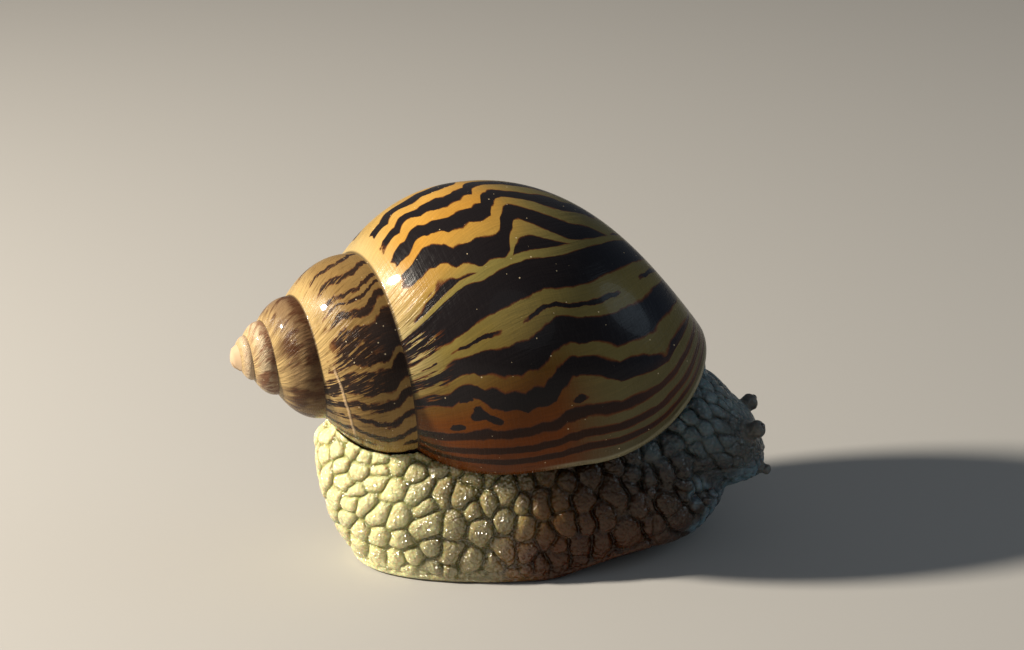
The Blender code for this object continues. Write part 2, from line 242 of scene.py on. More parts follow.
class ShellBuilder:
    """The closed shell at a chosen fineness, with growth coordinates on every face corner."""

    def __init__(self, fineness, turns):
        self.per_turn, self.shoulder_steps, self.base_steps = fineness
        self.turns = turns
        self.shift = self.per_turn - round(SHOULDER_LAG * self.per_turn)
        self.bm = bmesh.new()
        self.growth = self.bm.loops.layers.uv.new("growth")

    def face(self, verts, places):
        made = self.bm.faces.new(verts)
        for loop, place in zip(made.loops, places):
            loop[self.growth].uv = place
        return made

    def zipper(self, first, second, place):
        """Join two vertex rows that may differ in count, by their share of the way."""
        share_first, share_second = way_shares(first), way_shares(second)
        i = j = 0
        while i < len(first) - 1 or j < len(second) - 1:
            ends = j == len(second) - 1
            if ends or (i < len(first) - 1 and share_first[i + 1] <= share_second[j + 1]):
                trio = (first[i], first[i + 1], second[j])
                i += 1
            else:
                trio = (first[i], second[j + 1], second[j])
                j += 1
            if len(set(trio)) == 3:
                self.face(trio, [place] * 3)

    def vert(self, turn, share):
        return self.bm.verts.new(shell_point(turn, share))

    def whorls(self):
        """Columns along the growth lines; each whorl's widest line is the next one's suture."""
        last = round(self.turns * self.per_turn)
        turns = [(i - last) / self.per_turn for i in range(last + 1)]
        shoulder = [j / self.shoulder_steps for j in range(self.shoulder_steps)]
        base = [1.0 + j / self.base_steps for j in range(1, self.base_steps + 1)]
        shares = shoulder + [1.0] + base
        columns = [[self.vert(turn, share) for share in shoulder] for turn in turns]
        for i, (turn, column) in enumerate(zip(turns, columns)):
            if i + self.shift <= last:
                column.append(columns[i + self.shift][0])
            else:
                column.append(self.vert(turn, 1.0))
            if i + self.shift >= last:
                column.extend(self.vert(turn, share) for share in base)
        for here, there, one, two in zip(turns, turns[1:], columns, columns[1:]):
            for j in range(min(len(one), len(two)) - 1):
                low, high = shares[j], shares[j + 1]
                self.face((one[j], one[j + 1], two[j + 1], two[j]),
                          ((here, low), (here, high), (there, high), (there, low)))
        self.columns = columns

    def apex(self):
        """Close the first whorl with a low round dome."""
        rim = [column[0] for column in self.columns[:self.shift + 1]]
        rim += self.columns[0][1:self.shoulder_steps][::-1]
        outer = rim
        middle = sum((vert.co for vert in rim), Vector()) / len(rim)
        place = (-self.turns, 0.5)
        for share in DOME_RINGS:
            rise = APEX_DOME * sqrt(1.0 - share ** 2)
            ring = [self.bm.verts.new(middle.lerp(vert.co, share) - ALONG * rise) for vert in outer]
            for a, b, c, d in zip(rim, rim[1:] + rim[:1], ring[1:] + ring[:1], ring):
                self.face((a, b, c, d), [place] * 4)
            rim = ring
        top = self.bm.verts.new(middle - ALONG * APEX_DOME)
        for one, two in zip(rim, rim[1:] + rim[:1]):
            self.face((one, two, top), [place] * 3)

    def mouth(self):
        """Close the mouth with a sunken face behind a thin lip."""
        lip = self.columns[-1]
        first_base = len(self.columns) - 1 - self.shift
        inner = self.columns[first_base][self.shoulder_steps:]
        inner = inner + [column[-1] for column in self.columns[first_base + 1:]]
        count = len(lip) - 1
        edge = [lip[0]]
        floor = [lip[0]]
        lip_shares, inner_shares = way_shares(lip), way_shares(inner)
        back_step = max(round(self.per_turn / 40), 1)
        for k in range(1, count):
            nearest = min(range(len(inner)), key=lambda n: abs(inner_shares[n] - lip_shares[k]))
            across = inner[nearest].co - lip[k].co
            inward = across.normalized() * min(LIP_THICKNESS, across.length * LIP_LIMIT)
            rim = lip[k].co + inward
            back = (self.columns[-1 - back_step][k].co - lip[k].co).normalized()
            depth = LIP_RECESS * sin(pi * k / count) ** RECESS_POWER
            edge.append(self.bm.verts.new(rim))
            floor.append(self.bm.verts.new(rim + back * depth + inward * RECESS_TAPER))
        edge.append(lip[-1])
        floor.append(lip[-1])
        rows = (lip, edge, floor, inner)
        for one, two, share in zip(rows, rows[1:], MOUTH_SHARES):
            self.zipper(one, two, (0.0, share))

    def finished(self, grow=0.0):
        """The closed shell, grown outward by a clearance where one is asked for."""
        self.whorls()
        self.apex()
        self.mouth()
        bm = self.bm
        bmesh.ops.remove_doubles(bm, verts=bm.verts, dist=WELD_DISTANCE)
        bmesh.ops.recalc_face_normals(bm, faces=bm.faces)
        if grow:
            bmesh.ops.triangulate(bm, faces=bm.faces)
            bm.normal_update()
            moves = [vert.normal * grow * min(vert.calc_shell_factor(), CORNER_GROWTH_LIMIT)
                     for vert in bm.verts]
            for vert, move in zip(bm.verts, moves):
                vert.co += move
        return bm


# ---- body form

def margin_lift(x, y, height, scale):
    """The front right margin of the foot curls up off the floor."""
    way = min(max((x - MARGIN_LIFT_START) / MARGIN_LIFT_REACH, 0.0), 1.0)
    side = min(max(0.5 - y / MARGIN_LIFT_WIDTH, 0.0), 1.0)
    edge = max(scale - (1.0 - MARGIN_LIFT_EDGE), 0.0) / MARGIN_LIFT_EDGE
    fade = max(1.0 - height / MARGIN_LIFT_HEIGHT, 0.0)
    return MARGIN_LIFT * way ** 1.5 * (3.0 - 2.0 * way ** 0.5) * side * edge * fade


def body_ring(height, scale=1.0):
    """Points round the foot or trunk at one height, blunt in front, tapered behind."""
    rear, front, right, left, front_roundness = smooth_table(BODY_LEVELS, height)
    inset = 0.0
    if height < SOLE_EDGE:
        inset = SOLE_EDGE * (1.0 - sqrt(1.0 - (1.0 - height / SOLE_EDGE) ** 2))
    middle_x = rear + WIDEST_SHARE * (front - rear)
    middle_y = (right + left) / 2.0
    half_width = (left - right) / 2.0 - inset
    points = []
    for k in range(BODY_SIDES):
        angle = 2.0 * pi * (k + 0.5) / BODY_SIDES
        cosine, sine = cos(angle), sin(angle)
        reach = (front - middle_x if cosine > 0.0 else middle_x - rear) - inset
        power = 2.0 / (front_roundness if cosine > 0.0 else REAR_ROUNDNESS)
        x = middle_x + scale * reach * copysign(abs(cosine) ** power, cosine)
        y = middle_y + scale * half_width * copysign(abs(sine) ** power, sine)
        points.append(Vector((x, y, height + margin_lift(x, y, height, scale))) * MM + STAND_PLACE)
    return points


def add_rings(bm, rings, start_tip=None, end_tip=None):
    rows = [[bm.verts.new(point) for point in ring] for ring in rings]
    for one, two in zip(rows, rows[1:]):
        for a, b, c, d in zip(one, one[1:] + one[:1], two[1:] + two[:1], two):
            bm.faces.new((a, b, c, d))
    for row, tip in ((rows[0], start_tip), (rows[-1], end_tip)):
        if tip is None:
            bm.faces.new(row)
            continue
        point = bm.verts.new(tip)
        for a, b in zip(row, row[1:] + row[:1]):
            bm.faces.new((a, b, point))
    bmesh.ops.recalc_face_normals(bm, faces=bm.faces)


def trunk_form():
    bm = bmesh.new()
    first, step, count = TRUNK_HEIGHTS
    rings = [body_ring(0.0, scale) for scale in reversed(SOLE_RINGS)]
    rings += [body_ring(height) for height in EDGE_HEIGHTS]
    rings += [body_ring(first + step * k) for k in range(count)]
    middle = sum(rings[0], Vector()) / BODY_SIDES
    add_rings(bm, rings, start_tip=Vector((middle.x, middle.y, 0.0)))
    return bm


def head_form():
    bm = bmesh.new()
    rings = []
    for x in [first + step * k for first, step, count in HEAD_STATIONS for k in range(count)]:
        top, bottom, half_width = smooth_table(HEAD_SECTIONS, x)
        ring = []
        for k in range(HEAD_SIDES):
            angle = 2.0 * pi * (k + 0.5) / HEAD_SIDES
            y = half_width * cos(angle)
            z = (top + bottom) / 2.0 + (top - bottom) / 2.0 * sin(angle)
            ring.append(Vector((x, y, z)) * MM + STAND_PLACE)
        rings.append(ring)
    add_rings(bm, rings)
    return bm


def stalk_frame(stalk, side):
    """Foot and direction of a feeler, and two directions across it."""
    foot, pitch, splay = stalk[:3]
    aim = direction(side * splay, pitch)
    across = aim.cross(Vector((0.0, 0.0, 1.0))).normalized()
    return Vector((foot[0], side * foot[1], foot[2])), aim, across, across.cross(aim)


def stalk_form(stalk, side):
    """A drawn-in feeler, wrinkled in rings, with a swollen round tip."""
    length, radius = stalk[3:]
    root, aim, across, over = stalk_frame(stalk, side)
    rings = []
    for step in range(STALK_RINGS):
        share = STALK_START + step / STALK_STEPS
        width = 1.2 - 0.34 * ease(share, 0.0, 0.5) + 0.10 * ease(share, 0.45, 0.75)
        if share > STALK_TIP:
            width *= sqrt(max(1.0 - ((share - STALK_TIP) / (1.0 - STALK_TIP)) ** 2, 0.0))
        width *= 1.0 - 0.04 * (1.0 + cos(share * WRINKLE_RATE)) * (share < WRINKLE_END)
        middle = root + aim * (length * share)
        ring = []
        for k in range(STALK_SIDES):
            angle = 2.0 * pi * k / STALK_SIDES
            off = (across * cos(angle) + over * sin(angle)) * radius * width
            ring.append((middle + off) * MM + STAND_PLACE)
        rings.append(ring)
    bm = bmesh.new()
    add_rings(bm, rings, end_tip=(root + aim * length) * MM + STAND_PLACE)
    return bm


def eye_middle(side):
    root, aim, _, over = stalk_frame(UPPER_STALK, side)
    length = UPPER_STALK[3]
    return (root + aim * (length - EYE_RADIUS * EYE_DEPTH) + over * EYE_RAISE) * MM + STAND_PLACE


def eye_form(side):
    bm = bmesh.new()
    bmesh.ops.create_icosphere(bm, subdivisions=5, radius=EYE_RADIUS * MM)
    bmesh.ops.translate(bm, verts=bm.verts, vec=eye_middle(side))
    return bm


def boolean(target, name, bm, operation):
    """Bake one boolean step into the target at once and drop its tool."""
    tool = new_object(name, mesh_from(name, bm))
    step = target.modifiers.new(name, "BOOLEAN")
    step.operation = operation
    step.object = tool
    step.solver = "EXACT"
    bake(target)
    bpy.data.objects.remove(tool, do_unlink=True)


def bake(target):
    """Replace the mesh of an object by its evaluated shape."""
    shape = bpy.data.meshes.new_from_object(target.evaluated_get(bpy.context.evaluated_depsgraph_get()))
    target.modifiers.clear()
    target.data = shape


def skin_base():
    """Foot, trunk, neck, head and feelers as one even mesh, cut to fit under the shell."""
    body = new_object("skin", mesh_from("skin", trunk_form()))
    boolean(body, "head_form", head_form(), "UNION")
    clearance = ShellBuilder(CLEARANCE_FINENESS, CLEARANCE_TURNS).finished(SKIN_CLEARANCE)
    boolean(body, "shell_clearance", clearance, "DIFFERENCE")
    for side in (-1.0, 1.0):
        boolean(body, "upper_stalk", stalk_form(UPPER_STALK, side), "UNION")
        boolean(body, "lower_stalk", stalk_form(LOWER_STALK, side), "UNION")
    remesh = body.modifiers.new("even", "REMESH")
    remesh.mode = "VOXEL"
    remesh.voxel_size = SKIN_VOXEL
    smooth = body.modifiers.new("smooth", "SMOOTH")
    smooth.factor = 0.5
    smooth.iterations = SKIN_SMOOTHING
    bake(body)
    return body


# ---- warts and folds of the skin

# Lean of the warts from upright, seen from the right side, as (x in mm, degrees toward the rear).
WART_LEAN = ((-24.0, -60.0), (-14.0, -45.0), (-5.0, -18.0), (3.0, 0.0), (12.0, 8.0), (25.0, 16.0))
NECK_LEAN = 40.0
WART_TILT = 0.25
WART_SIZES = (0.82, 1.2)
SEED_GAP = 0.72
CORNER_SOFTNESS = 0.06
WART_TRIES = 26000
NEAR_SEEDS = 7
# Creases as (depth, width, path): on the neck's right side as (x, z), on the snout as (y, z).
NECK_CREASES = (
    (0.7, 0.55, ((17.5, 15.5), (22.0, 13.6), (28.5, 10.4), (33.0, 9.4))),
    (0.5, 0.5, ((19.5, 14.5), (21.3, 9.0), (21.0, 4.0))),
)
SNOUT_CREASES = (
    (0.5, 0.35, ((0.0, 8.5), (0.0, 12.4))),
    (0.42, 0.38, ((0.0, 12.9), (-2.0, 13.2), (-3.6, 12.0), (-4.4, 9.6))),
    (0.42, 0.38, ((0.0, 12.9), (2.0, 13.2), (3.6, 12.0), (4.4, 9.6))),
)
MOUTH_SLIT = ((36.4, 9.3), (38.2, 10.4), (39.4, 11.2))
SLIT_DEPTH = 0.65
FOLD_DEPTH = 0.3
FULL_SHADE_DEPTH = 0.5
SHELL_REACH = 1.5 * MM


def wart_size(points):
    """Width and length of warts in mm: large on the flanks, small near shell, head and margin."""
    x, _, z = points.T
    zones = (
        (3.0, 3.9, ease(-x, 8.0, 16.0)),
        (2.5, 4.7, ease(-x, 6.0, 14.0) * ease(z, 7.0, 12.0)),
        (3.4, 4.8, ease(x, 8.0, 14.0)),
        (2.5, 3.2, ease(z, 15.0, 20.0)),
        (2.1, 3.0, ease(x, 24.0, 30.0)),
        (1.1, 1.3, ease(x, 32.0, 35.5)),
        (2.1, 2.1, ease(-z, -3.8, -1.6)),
    )
    width = np.full(len(x), 2.9)
    length = np.full(len(x), 3.7)
    for wide, long, weight in zones:
        width += (wide - width) * weight
        length += (long - length) * weight
    return width, length


def wart_lie(points, normals):
    """Long direction of the warts: it fans out below the shell and follows the neck."""
    x, _, z = points.T
    lean = np.interp(x, *zip(*WART_LEAN))
    lean += NECK_LEAN * ease(z, 9.5, 13.5) * ease(x, 20.0, 27.0)
    lean = np.radians(lean)
    aim = np.stack((-np.sin(lean), np.zeros(len(x)), np.cos(lean)), axis=1)
    aim -= normals * np.einsum("ij,ij->i", aim, normals)[:, None]
    return aim / np.maximum(np.linalg.norm(aim, axis=1), 1e-6)[:, None]


class Warts:
    """Seeds of the warts, each with its own size and long direction."""

    def __init__(self, points, normals):
        rng = np.random.default_rng(11)
        picks = rng.choice(len(points), size=min(WART_TRIES, len(points)), replace=False)
        spots, faces = points[picks], normals[picks]
        width, length = wart_size(spots)
        size = rng.uniform(*WART_SIZES, len(picks))
        lie = wart_lie(spots, faces)
        tilt = rng.uniform(-WART_TILT, WART_TILT, len(picks))[:, None]
        lie = lie * np.cos(tilt) + np.cross(faces, lie) * np.sin(tilt)
        narrow = (1.0 / (width * size)) ** 2
        stretch = (1.0 / (length * size)) ** 2 - narrow
        metric = narrow[:, None, None] * np.eye(3)
        metric += stretch[:, None, None] * lie[:, :, None] * lie[:, None, :]
        placed = []
        kept = np.empty((len(picks), 10))
        terms = point_terms(spots)
        for k in range(len(picks)):
            if placed and (kept[:len(placed)] @ terms[k]).min() < SEED_GAP:
                continue
            kept[len(placed)] = seed_terms(spots[k:k + 1], metric[k:k + 1])[0]
            placed.append(k)
        self.spots, self.metric, self.lie = spots[placed], metric[placed], lie[placed]

    def settle(self, points, rounds=3, sample=40000):
        """Move each seed to the middle of the skin it owns, so that no wart is a sliver."""
        rng = np.random.default_rng(3)
        picks = points[rng.choice(len(points), size=min(sample, len(points)), replace=False)]
        seeds = len(self.spots)
        for _ in range(rounds):
            owner = self.cells(picks)[0]
            count = np.bincount(owner, minlength=seeds)
            middle = np.stack([np.bincount(owner, weights=picks[:, k], minlength=seeds)
                               for k in range(3)], axis=1)
            owned = count > 0
            self.spots[owned] = middle[owned] / count[owned][:, None]

    def cells(self, points, part_size=8000):
        """For each point: its wart, the distance to the border as a share of the width, and how
        far that border runs along the wart."""
        owner = np.empty(len(points), dtype=np.int64)
        border = np.empty(len(points))
        along = np.empty(len(points))
        seeds = seed_terms(self.spots, self.metric)
        for start in range(0, len(points), part_size):
            stop = start + part_size
            square = point_terms(points[start:stop]) @ seeds.T
            nearest = np.argpartition(square, NEAR_SEEDS, axis=1)[:, :NEAR_SEEDS]
            gap = np.sqrt(np.maximum(np.take_along_axis(square, nearest, axis=1), 0.0))
            order = np.argsort(gap, axis=1)
            nearest = np.take_along_axis(nearest, order, axis=1)
            gap = np.take_along_axis(gap, order, axis=1)
            walls = (gap[:, 1:] - gap[:, :1]) / 2.0
            share = np.exp(-walls / CORNER_SOFTNESS)
            total = share.sum(axis=1)
            border[start:stop] = -CORNER_SOFTNESS * np.log(total)
            between = self.spots[nearest[:, 1:]] - self.spots[nearest[:, :1]]
            between /= np.linalg.norm(between, axis=2)[:, :, None]
            cross = np.abs(np.einsum("ijk,ik->ij", between, self.lie[nearest[:, 0]]))
            along[start:stop] = 1.0 - (cross * share).sum(axis=1) / total
            owner[start:stop] = nearest[:, 0]
        return owner, border, along


def point_terms(points):
    """The products of coordinates that seed_terms weighs to give a squared distance."""
    x, y, z = points.T
    return np.stack((x * x, y * y, z * z, 2 * x * y, 2 * x * z, 2 * y * z, -2 * x, -2 * y, -2 * z,
                     np.ones(len(x))), axis=1)


def seed_terms(spots, metric):
    pull = np.einsum("ijk,ik->ij", metric, spots)
    return np.column_stack((metric[:, 0, 0], metric[:, 1, 1], metric[:, 2, 2], metric[:, 0, 1],
                            metric[:, 0, 2], metric[:, 1, 2], pull, np.einsum("ij,ij->i", spots, pull)))


def crease(points, path, width, axes=(0, 2)):
    """How close each point is to a crease drawn as corners on two axes, here (x, z): 1 on it."""
    flat = points[:, axes]
    best = np.full(len(flat), 1e9)
    for one, two in zip(path, path[1:]):
        one, two = np.array(one), np.array(two)
        along = two - one
        share = np.clip(((flat - one) @ along) / (along @ along), 0.0, 1.0)
        best = np.minimum(best, np.linalg.norm(flat - one - share[:, None] * along, axis=1))
    return np.exp(-(best / width) ** 2)


def noise_field(points, scale, seed):
    """Smooth noise from -1 to 1 at each point."""
    shift = Vector((seed * 7.3, seed * 3.1, seed * 5.7))
    return np.array([noise.noise(Vector(point) * scale + shift) for point in points])


def shell_nearness(place, shell):
    """1 where the skin touches the shell, 0 well away from it."""
    tree = BVHTree.FromObject(shell, bpy.context.evaluated_depsgraph_get())
    near = np.zeros(len(place))
    for k, point in enumerate(place):
        gap = tree.find_nearest(Vector(point), SHELL_REACH)[3]
        if gap is not None:
            near[k] = 1.0 - gap / SHELL_REACH
    return ease(near, 0.1, 0.7)


def mesh_arrays(mesh):
    """Places and normals of the vertices, as rows of two arrays."""
    count = len(mesh.vertices) * 3
    place, normal = np.empty(count), np.empty(count, dtype=np.float32)
    mesh.vertices.foreach_get("co", place)
    mesh.vertex_normals.foreach_get("vector", normal)
    return place.reshape(-1, 3), normal.reshape(-1, 3)


def wart_relief(border, along, x):
    """Height of the skin within a wart: 0 in the grooves, 1 on the crown, evener toward the tail."""
    valley = ease(border, -0.05, 0.15)
    dome = np.clip(border / 0.45, 0.0, 1.0)
    relief = 0.42 * valley + 0.58 * (1.0 - (1.0 - dome) ** 2)
    evenness = 0.75 - 0.3 * ease(x, -4.0, 10.0)
    return 1.0 - (1.0 - relief) * (evenness + (1.0 - evenness) * np.clip(1.6 * along, 0.0, 1.0))


def groove_depth(points, stalk, sole):
    """Depth of the grooves between warts: shallow on head, margin and feelers, none under the sole."""
    x, y, z = points.T
    depth = (0.36 - 0.05 * ease(-x, 4.0, 14.0)) * wart_size(points)[0]
    depth *= 1.0 - 0.2 * ease(x, 31.0, 37.0)
    depth *= 1.0 - 0.6 * ease(-z, -3.6, -1.2)
    depth *= 1.0 - 0.8 * ease(y, 2.0, 8.0) * ease(z, 22.0, 25.0)
    return depth * (1.0 - 0.8 * stalk) * (1.0 - sole)


def margin_wrinkles(points):
    """Wrinkles and broad frills toward the foot's margin, over a slow swell everywhere."""
    low = -points[:, 2]
    wrinkle = noise_field(points * np.array((1.6, 1.6, 0.35)), 1.0, 5)
    frill = noise_field(points * np.array((1.0, 1.0, 0.2)), 0.42, 6)
    swell = noise_field(points, 0.22, 9)
    return (0.16 * ease(low, -5.0, -2.0) * np.clip(wrinkle + 0.2, 0.0, 1.0)
            + 0.6 * ease(low, -4.0, -0.8) * np.clip(frill + 0.25, 0.0, 1.0) + 0.05 * (swell + 1.0))


def mouth_slit(points):
    x, y, _ = points.T
    return crease(points, MOUTH_SLIT, 0.32) * ease(x, 35.8, 37.2) * ease(-np.abs(y), -4.6, -3.4)


def face_creases(points):
    """The creases of the right side of the neck and those of the snout."""
    near_side = ease(-points[:, 1], 1.0, 5.0)
    snout = ease(points[:, 0], 34.8, 36.2)
    whole = np.zeros(len(points))
    for depth, width, path in NECK_CREASES:
        whole += depth * near_side * crease(points, path, width)
    for depth, width, path in SNOUT_CREASES:
        whole += depth * snout * crease(points, path, width, (1, 2))
    return whole


def sculpt_skin(body, shell):
    """Press grooves between warts, creases and wrinkles into the smooth skin, always inward."""
    mesh = body.data
    place, normal = mesh_arrays(mesh)
    points = (place - np.array(STAND_PLACE)) / MM
    wander = np.stack([noise_field(points, 0.45, seed) for seed in (1, 2, 3)], axis=1)
    warped = points + wander * 0.45
    warts = Warts(warped, normal.astype(float))
    warts.settle(warped)
    owner, border, along = warts.cells(warped)
    relief = wart_relief(border, along, points[:, 0])
    stalk, fold = stalk_nearness(points)
    sole = ease(-normal[:, 2], 0.55, 0.85) * ease(-points[:, 2], -5.0, -3.0)
    depth = groove_depth(points, stalk, sole)
    slit = mouth_slit(points)
    inward = depth * (1.0 - relief) + margin_wrinkles(points) * (1.0 - sole)
    inward += face_creases(points) + SLIT_DEPTH * slit
    inward *= 1.0 - 0.75 * stalk
    inward += FOLD_DEPTH * fold
    inward += 0.12 * (1.0 - sole) * (1.0 - 0.8 * stalk) + 0.02 * sole
    inward *= 1.0 - 0.8 * shell_nearness(place, shell)
    # The grooves are darkened by their depth, and the mouth slit too: painted shade, stored in the relief
    # attribute.
    groove_shade = (1.0 - relief) * np.clip(depth / FULL_SHADE_DEPTH, 0.0, 1.0)
    groove_shade = np.maximum(groove_shade, np.clip(slit, 0.0, 1.0))
    place -= normal * (inward * MM)[:, None]
    mesh.vertices.foreach_set("co", place.ravel())
    tones = np.random.default_rng(5).uniform(-1.0, 1.0, len(warts.spots))
    for name, values in (("relief", 1.0 - groove_shade), ("tone", tones[owner]), ("feeler", stalk)):
        field = mesh.attributes.new(name, "FLOAT", "POINT")
        field.data.foreach_set("value", values.astype(np.float32))
    mesh.update()


def stalk_nearness(points):
    """1 on the feelers and 0 away from them; then 1 on the fold that rings each feeler's foot."""
    near = np.zeros(len(points))
    fold = np.zeros(len(points))
    for stalk in (UPPER_STALK, LOWER_STALK):
        length, radius = stalk[3:]
        for side in (-1.0, 1.0):
            root, aim = (np.array(vector) for vector in stalk_frame(stalk, side)[:2])
            reach = (points - root) @ aim
            off = np.linalg.norm(points - root - np.clip(reach, 0.0, length)[:, None] * aim, axis=1)
            near = np.maximum(near, ease(-off, -1.6 * radius, -1.2 * radius))
            off = np.linalg.norm(points - root - reach[:, None] * aim, axis=1)
            ring = np.exp(-((off - 1.45 * radius) / 0.25) ** 2) * ease(-np.abs(reach), -2.2, -1.2)
            fold = np.maximum(fold, ring)
    return near, fold


# ---- material helpers

class Value:
    """One output of a node in a material. Arithmetic on it adds Math nodes."""

    def __init__(self, nodes, socket):
        self.nodes = nodes
        self.socket = socket

    def math(self, operation, *others):
        return self.nodes.fed(self.nodes.node("ShaderNodeMath", operation=operation), self, *others)

    def __add__(self, other):
        return self.math("ADD", other)

    def __sub__(self, other):
        return self.math("SUBTRACT", other)

    def __mul__(self, other):
        return self.math("MULTIPLY", other)

    def __abs__(self):
        return self.math("ABSOLUTE")

    def most(self, other):
        return self.math("MAXIMUM", other)

    def least(self, other):
        return self.math("MINIMUM", other)

    def between(self, low, high, start=0.0, end=1.0, smooth=True):
        """Map low..high to start..end, eased and clamped."""
        kind = "SMOOTHSTEP" if smooth else "LINEAR"
        made = self.nodes.node("ShaderNodeMapRange", interpolation_type=kind, clamp=True)
        return self.nodes.fed(made, self, low, high, start, end)

    def mixed(self, factor, other, blend="MIX"):
        """This colour, replaced by another one as far as the factor says."""
        made = self.nodes.node("ShaderNodeMix", data_type="RGBA", blend_type=blend)
        self.nodes.set(made, Factor=factor, A=self, B=other)
        return Value(self.nodes, made.outputs["Result"])

    def stained(self, factor, other):
        """This colour, multiplied by another one as far as the factor says."""
        return self.mixed(factor, other, "MULTIPLY")

    def ramp(self, low, high, stops):
        """Shades or colours at shares of the way from low to high, straight between them."""
        made = self.nodes.node("ShaderNodeValToRGB")
        made.color_ramp.interpolation = "LINEAR"
        elements = made.color_ramp.elements
        while len(elements) > 1:
            elements.remove(elements[-1])
        for k, (place, *tint) in enumerate(stops):
            element = elements[0] if k == 0 else elements.new(place)
            element.position = place
            element.color = (*(tint * 3)[:3], 1.0)
        return self.nodes.fed(made, self.between(low, high, smooth=False))

    def curve(self, corners):
        """A piecewise straight function given by its (in, out) corners."""
        low, high = corners[0][0], corners[-1][0]
        outs = [out for _, out in corners]
        bottom, top = min(outs), max(outs)
        stops = [((at - low) / (high - low), (out - bottom) / (top - bottom)) for at, out in corners]
        return self.ramp(low, high, stops) * (top - bottom) + bottom


class Nodes:
    """Short hand for building one procedural material."""

    def __init__(self, name):
        self.material = bpy.data.materials.new(name)
        self.material.use_nodes = True
        self.tree = self.material.node_tree
        self.shader = self.tree.nodes["Principled BSDF"]
        self.place = Value(self, self.node("ShaderNodeTexCoord").outputs["Object"])

    def node(self, kind, **settings):
        made = self.tree.nodes.new(kind)
        for key, value in settings.items():
            setattr(made, key, value)
        return made

    def feed(self, socket, value):
        """Link a Value to a socket, or set a plain number, vector or opaque colour on it."""
        if isinstance(value, Value):
            self.tree.links.new(value.socket, socket)
        else:
            socket.default_value = (*value, 1.0) if socket.type == "RGBA" else value

    def fed(self, made, *values):
        """Feed a node's first inputs in order and give its first output."""
        for socket, value in zip(made.inputs, values):
            self.feed(socket, value)
        return Value(self, made.outputs[0])

    def set(self, made, **values):
        """Feed a node's inputs by name."""
        for name, value in values.items():
            self.feed(made.inputs[name.replace("_", " ")], value)
        return made

    def parts(self, vector):
        made = self.node("ShaderNodeSeparateXYZ")
        self.feed(made.inputs[0], vector)
        return [Value(self, output) for output in made.outputs]

    def vector(self, x, y, z=0.0):
        return self.fed(self.node("ShaderNodeCombineXYZ"), x, y, z)

    def attribute(self, name):
        return Value(self, self.node("ShaderNodeAttribute", attribute_name=name).outputs["Fac"])

    def noise(self, vector, scale, detail=2.0, roughness=0.5):
        made = self.node("ShaderNodeTexNoise")
        return self.fed(self.set(made, Vector=vector, Scale=scale, Detail=detail, Roughness=roughness))

    def cells(self, feature, **values):
        return self.set(self.node("ShaderNodeTexVoronoi", feature=feature), **values)

    def bump(self, height, distance, strength=1.0):
        made = self.node("ShaderNodeBump")
        return self.fed(self.set(made, Strength=strength, Distance=distance, Height=height))


# ---- shell pattern

# Dark bands as (start, end) in turns, where the zigzag is at rest.
NEAR_BANDS = (
    (-0.3840, -0.3595), (-0.3389, -0.3198), (-0.3010, -0.2782), (-0.2590, -0.2325), (-0.2205, -0.1675),
    (-0.1400, -0.1155), (-0.1032, -0.0835), (-0.0600, -0.0475), (-0.0385, -0.0290), (-0.0235, -0.0150),
)
SECOND_BANDS = (
    (-1.342, -1.328), (-1.298, -1.282), (-1.256, -1.246), (-1.239, -1.231), (-1.218, -1.202),
    (-1.188, -1.122), (-1.114, -1.072), (-1.060, -1.042), (-1.027, -1.013), (-0.992, -0.978),
    (-0.962, -0.945),
)
WISP = (-0.1545, -0.1500)
# Zigzag of the bands: how far they swing at each share of the way from suture to axis.
ZIGZAG = (
    (0.0, -1.2), (0.15, -1.15), (0.25, -1.0), (0.3, -0.95), (0.36, -0.75), (0.42, -0.15), (0.5, 0.35),
    (0.6, 0.88), (0.68, 1.05), (0.75, 1.0), (0.82, 0.8), (0.87, 0.1), (0.95, -0.4), (1.0, -0.42),
    (1.08, 0.1), (1.2, 1.1), (1.3, 1.9), (1.5, 2.3), (2.0, 2.6),
)
# Reach of that swing, in turns, at each turn.
SWING = (
    (-0.42, 0.011), (-0.36, 0.014), (-0.3389, 0.0131), (-0.3198, 0.0161), (-0.2994, 0.0160),
    (-0.2782, 0.0198), (-0.26, 0.0226), (-0.2265, 0.0245), (-0.208, 0.010), (-0.198, 0.0),
    (-0.165, 0.001), (-0.14, 0.0075), (-0.1155, 0.0127), (-0.1032, 0.0145), (-0.0835, 0.0165),
    (-0.06, 0.006), (-0.047, 0.004), (-0.02, 0.003), (0.0, 0.0),
)
# Spots before the lip, as (turn, share, radius), and how many shares one turn counts for.
ISLANDS = (
    (-0.066, 0.255, 0.045), (-0.0735, 0.39, 0.06), (-0.071, 0.46, 0.055), (-0.066, 1.0, 0.045),
    (-0.083, 0.317, 0.04),
)
ISLAND_STRETCH = 11.0
# A colour ramp holds 32 stops, so this many bands share one.
BANDS_PER_RAMP = 7
# Turns where the second whorl's bands begin, and where the early whorls' streaks do.
SECOND_START = -0.95
EARLY_START = -1.95
DUST_SCALE = 1100.0

